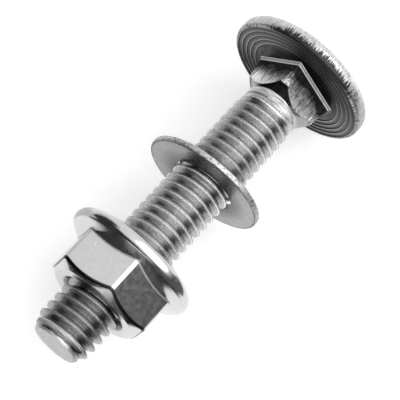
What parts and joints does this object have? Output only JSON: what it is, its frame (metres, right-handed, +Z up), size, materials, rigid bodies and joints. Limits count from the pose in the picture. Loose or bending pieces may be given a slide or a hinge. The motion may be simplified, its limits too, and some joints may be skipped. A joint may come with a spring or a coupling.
{
  "type": "carriage bolt",
  "caption": "Carriage bolt with a domed round head, ringed underside, square neck and right-hand thread, carrying a loose flat washer and a hexagon flange nut; it lies on its side.",
  "frame": {"origin": "centre of the flat underside of the bolt's head, on the thread's axis", "axes": "+X along the bolt's axis from the head's underside to the free end; +Z up as the bolt lies on its side, +Y level across it"},
  "size_m": [0.0489, 0.0192, 0.0192],
  "materials": {
    "bolt_steel": "bright forged and rolled stainless steel, turned rings under the head",
    "washer_steel": "tumbled stainless steel with a torn stamped edge",
    "nut_steel": "smooth satin stainless steel"
  },
  "bodies": {
    "bolt": {"bolt": "bolt_steel"},
    "washer": {"washer": "washer_steel"},
    "nut": {"flange_nut": "nut_steel"}
  },
  "joints": [
    {"name": "washer_slide", "type": "slide", "parent": "bolt", "child": "washer", "axis": [1, 0, 0], "range_m": [-0.0128, 0.0052]},
    {"name": "nut_travel", "type": "slide", "parent": "bolt", "child": "nut", "axis": [1, 0, 0], "range_m": [-0.00625, 0.0125]}
  ]
}
